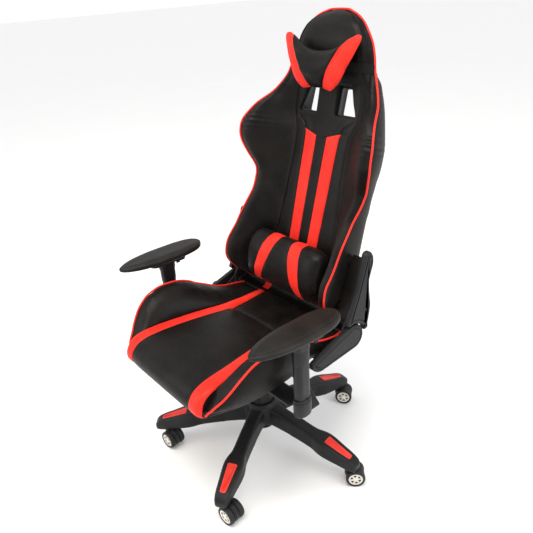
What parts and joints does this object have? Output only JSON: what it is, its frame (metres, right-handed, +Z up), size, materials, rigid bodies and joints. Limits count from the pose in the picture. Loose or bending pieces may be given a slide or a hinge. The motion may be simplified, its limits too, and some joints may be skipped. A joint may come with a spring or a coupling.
{
  "type": "gaming chair",
  "caption": "High-backed swivel chair with side wings, head and lumbar pillows, sliding armrests and a five-arm caster base",
  "frame": {"origin": "on the floor, on the axis of the gas lift and star base", "axes": "+Z up, the sitter faces -Y, +X is the sitter's left"},
  "size_m": [0.6952, 0.7253, 1.2432],
  "materials": {
    "base_plastic": "satin moulded nylon",
    "red_plastic": "textured moulded insert",
    "lift_steel": "black painted steel",
    "bare_steel": "bright zinc",
    "frame_steel": "black powder coat",
    "cover_plastic": "moulded plastic, fine texture",
    "sleeve_plastic": "satin plastic",
    "board_wood": "plywood",
    "leather_black": "soft grained synthetic leather",
    "pad_foam": "moulded soft polyurethane skin",
    "strap_black": "woven elastic",
    "caster_plastic": "moulded nylon",
    "wheel_tyre": "smooth tread, pale disc"
  },
  "bodies": {
    "base": {"star_base": "base_plastic", "arm_inlays": "red_plastic", "lift_tube": "lift_steel", "thrust_bearing": "bare_steel", "dust_sleeve_lower": "sleeve_plastic"},
    "dust_middle": {"dust_sleeve_middle": "sleeve_plastic"},
    "lift_shaft": {"lift_rod": "bare_steel"},
    "mechanism": {"gas_cylinder": "bare_steel", "mech_housing": "frame_steel", "dust_sleeve_upper": "sleeve_plastic", "tilt_pin": "bare_steel", "tilt_spring": "bare_steel"},
    "knob": {"tension_knob": "sleeve_plastic"},
    "lever_slide": {"lever_bush": "sleeve_plastic"},
    "lever": {"lever_rod": "frame_steel", "lever_paddle": "sleeve_plastic"},
    "seat": {"seat_plate": "frame_steel", "seat_board": "board_wood", "seat_cushion": "leather_black", "seat_bolster_left": "leather_black", "seat_bolster_right": "leather_black", "seat_bolts": "bare_steel", "arm_brackets": "frame_steel", "arm_collars": "cover_plastic", "recliner_plates": "frame_steel", "recliner_pins": "bare_steel", "lower_covers": "cover_plastic"},
    "recline_handle": {"recline_lever": "sleeve_plastic"},
    "back": {"back_uprights": "frame_steel", "back_crossbars": "frame_steel", "back_panel": "leather_black", "rear_panel": "leather_black", "back_wing_left": "leather_black", "back_wing_right": "leather_black", "belt_bezels": "sleeve_plastic", "upper_covers": "cover_plastic", "head_pillow": "leather_black", "head_strap": "strap_black", "lumbar_pillow": "leather_black"},
    "arm_left": {"arm_sleeve_left": "cover_plastic", "arm_pad_left": "pad_foam"},
    "arm_right": {"arm_sleeve_right": "cover_plastic", "arm_pad_right": "pad_foam"},
    "trigger_left": {"arm_trigger_left": "sleeve_plastic"},
    "trigger_right": {"arm_trigger_right": "sleeve_plastic"},
    "caster_1": {"caster_frame_1": "caster_plastic", "caster_pins_1": "bare_steel"},
    "wheels_1": {"caster_wheels_1": "wheel_tyre"},
    "caster_2": {"caster_frame_2": "caster_plastic", "caster_pins_2": "bare_steel"},
    "wheels_2": {"caster_wheels_2": "wheel_tyre"},
    "caster_3": {"caster_frame_3": "caster_plastic", "caster_pins_3": "bare_steel"},
    "wheels_3": {"caster_wheels_3": "wheel_tyre"},
    "caster_4": {"caster_frame_4": "caster_plastic", "caster_pins_4": "bare_steel"},
    "wheels_4": {"caster_wheels_4": "wheel_tyre"},
    "caster_5": {"caster_frame_5": "caster_plastic", "caster_pins_5": "bare_steel"},
    "wheels_5": {"caster_wheels_5": "wheel_tyre"}
  },
  "joints": [
    {"name": "lift_swivel", "type": "hinge", "parent": "base", "child": "lift_shaft", "pos_m": [0, 0, 0.2], "axis": [0, 0, 1], "continuous": true},
    {"name": "lift_height", "type": "slide", "parent": "lift_shaft", "child": "mechanism", "axis": [0, 0, 1], "range_m": [-0.02, 0.08]},
    {"name": "sleeve_slide", "type": "slide", "parent": "base", "child": "dust_middle", "axis": [0, 0, 1], "range_m": [-0.01, 0.04]},
    {"name": "seat_tilt", "type": "hinge", "parent": "mechanism", "child": "seat", "pos_m": [0, 0.045, 0.362], "axis": [-1, 0, 0], "range_deg": [0, 12], "stiffness_Nm_per_rad": 150, "springref_deg": -28.65},
    {"name": "tension_turn", "type": "hinge", "parent": "mechanism", "child": "knob", "pos_m": [0, -0.066, 0.285], "axis": [0, 0, 1], "range_deg": [0, 720]},
    {"name": "tilt_lock_pull", "type": "slide", "parent": "mechanism", "child": "lever_slide", "axis": [1, 0, 0], "range_m": [0, 0.015]},
    {"name": "lift_lever_raise", "type": "hinge", "parent": "lever_slide", "child": "lever", "pos_m": [0.058, -0.015, 0.352], "axis": [0, -1, 0], "range_deg": [0, 8], "stiffness_Nm_per_rad": 2, "springref_deg": -17.19},
    {"name": "recline", "type": "hinge", "parent": "seat", "child": "back", "pos_m": [0, 0.132, 0.45], "axis": [-1, 0, 0], "range_deg": [-8, 55]},
    {"name": "recline_lever_raise", "type": "hinge", "parent": "seat", "child": "recline_handle", "pos_m": [-0.27, 0.066, 0.432], "axis": [-1, 0, 0], "range_deg": [0, 25], "stiffness_Nm_per_rad": 0.8, "springref_deg": -22.92},
    {"name": "arm_height_left", "type": "slide", "parent": "seat", "child": "arm_left", "axis": [0, 0, 1], "range_m": [0, 0.07]},
    {"name": "arm_height_right", "type": "slide", "parent": "seat", "child": "arm_right", "axis": [0, 0, 1], "range_m": [-0.01, 0.06]},
    {"name": "trigger_press_left", "type": "hinge", "parent": "arm_left", "child": "trigger_left", "pos_m": [0.294, -0.064, 0.562], "axis": [1, 0, 0], "range_deg": [0, 12], "stiffness_Nm_per_rad": 0.05, "springref_deg": -17.19},
    {"name": "trigger_press_right", "type": "hinge", "parent": "arm_right", "child": "trigger_right", "pos_m": [-0.294, -0.064, 0.572], "axis": [1, 0, 0], "range_deg": [0, 12], "stiffness_Nm_per_rad": 0.05, "springref_deg": -17.19},
    {"name": "caster_swivel_1", "type": "hinge", "parent": "base", "child": "caster_1", "pos_m": [0.30388, 0.06127, 0.06], "axis": [0, 0, 1], "continuous": true},
    {"name": "wheel_roll_1", "type": "hinge", "parent": "caster_1", "child": "wheels_1", "pos_m": [0.31889, 0.07736, 0.028], "axis": [0.7314, -0.682, 0], "continuous": true},
    {"name": "caster_swivel_2", "type": "hinge", "parent": "base", "child": "caster_2", "pos_m": [0.03563, 0.30795, 0.06], "axis": [0, 0, 1], "continuous": true},
    {"name": "wheel_roll_2", "type": "hinge", "parent": "caster_2", "child": "wheels_2", "pos_m": [0.05287, 0.32161, 0.028], "axis": [0.6211, -0.7837, 0], "continuous": true},
    {"name": "caster_swivel_3", "type": "hinge", "parent": "base", "child": "caster_3", "pos_m": [-0.28186, 0.12905, 0.06], "axis": [0, 0, 1], "continuous": true},
    {"name": "wheel_roll_3", "type": "hinge", "parent": "caster_3", "child": "wheels_3", "pos_m": [-0.30129, 0.13937, 0.028], "axis": [0.4695, 0.8829, 0], "continuous": true},
    {"name": "caster_swivel_4", "type": "hinge", "parent": "base", "child": "caster_4", "pos_m": [-0.20983, -0.22819, 0.06], "axis": [0, 0, 1], "continuous": true},
    {"name": "wheel_roll_4", "type": "hinge", "parent": "caster_4", "child": "wheels_4", "pos_m": [-0.18793, -0.22616, 0.028], "axis": [0.0924, -0.9957, 0], "continuous": true},
    {"name": "caster_swivel_5", "type": "hinge", "parent": "base", "child": "caster_5", "pos_m": [0.15218, -0.27008, 0.06], "axis": [0, 0, 1], "continuous": true},
    {"name": "wheel_roll_5", "type": "hinge", "parent": "caster_5", "child": "wheels_5", "pos_m": [0.1741, -0.26816, 0.028], "axis": [0.0872, -0.9962, 0], "continuous": true}
  ],
  "couplings": [
    {"joint": "sleeve_slide", "follows": "lift_height", "ratio": 0.5}
  ]
}
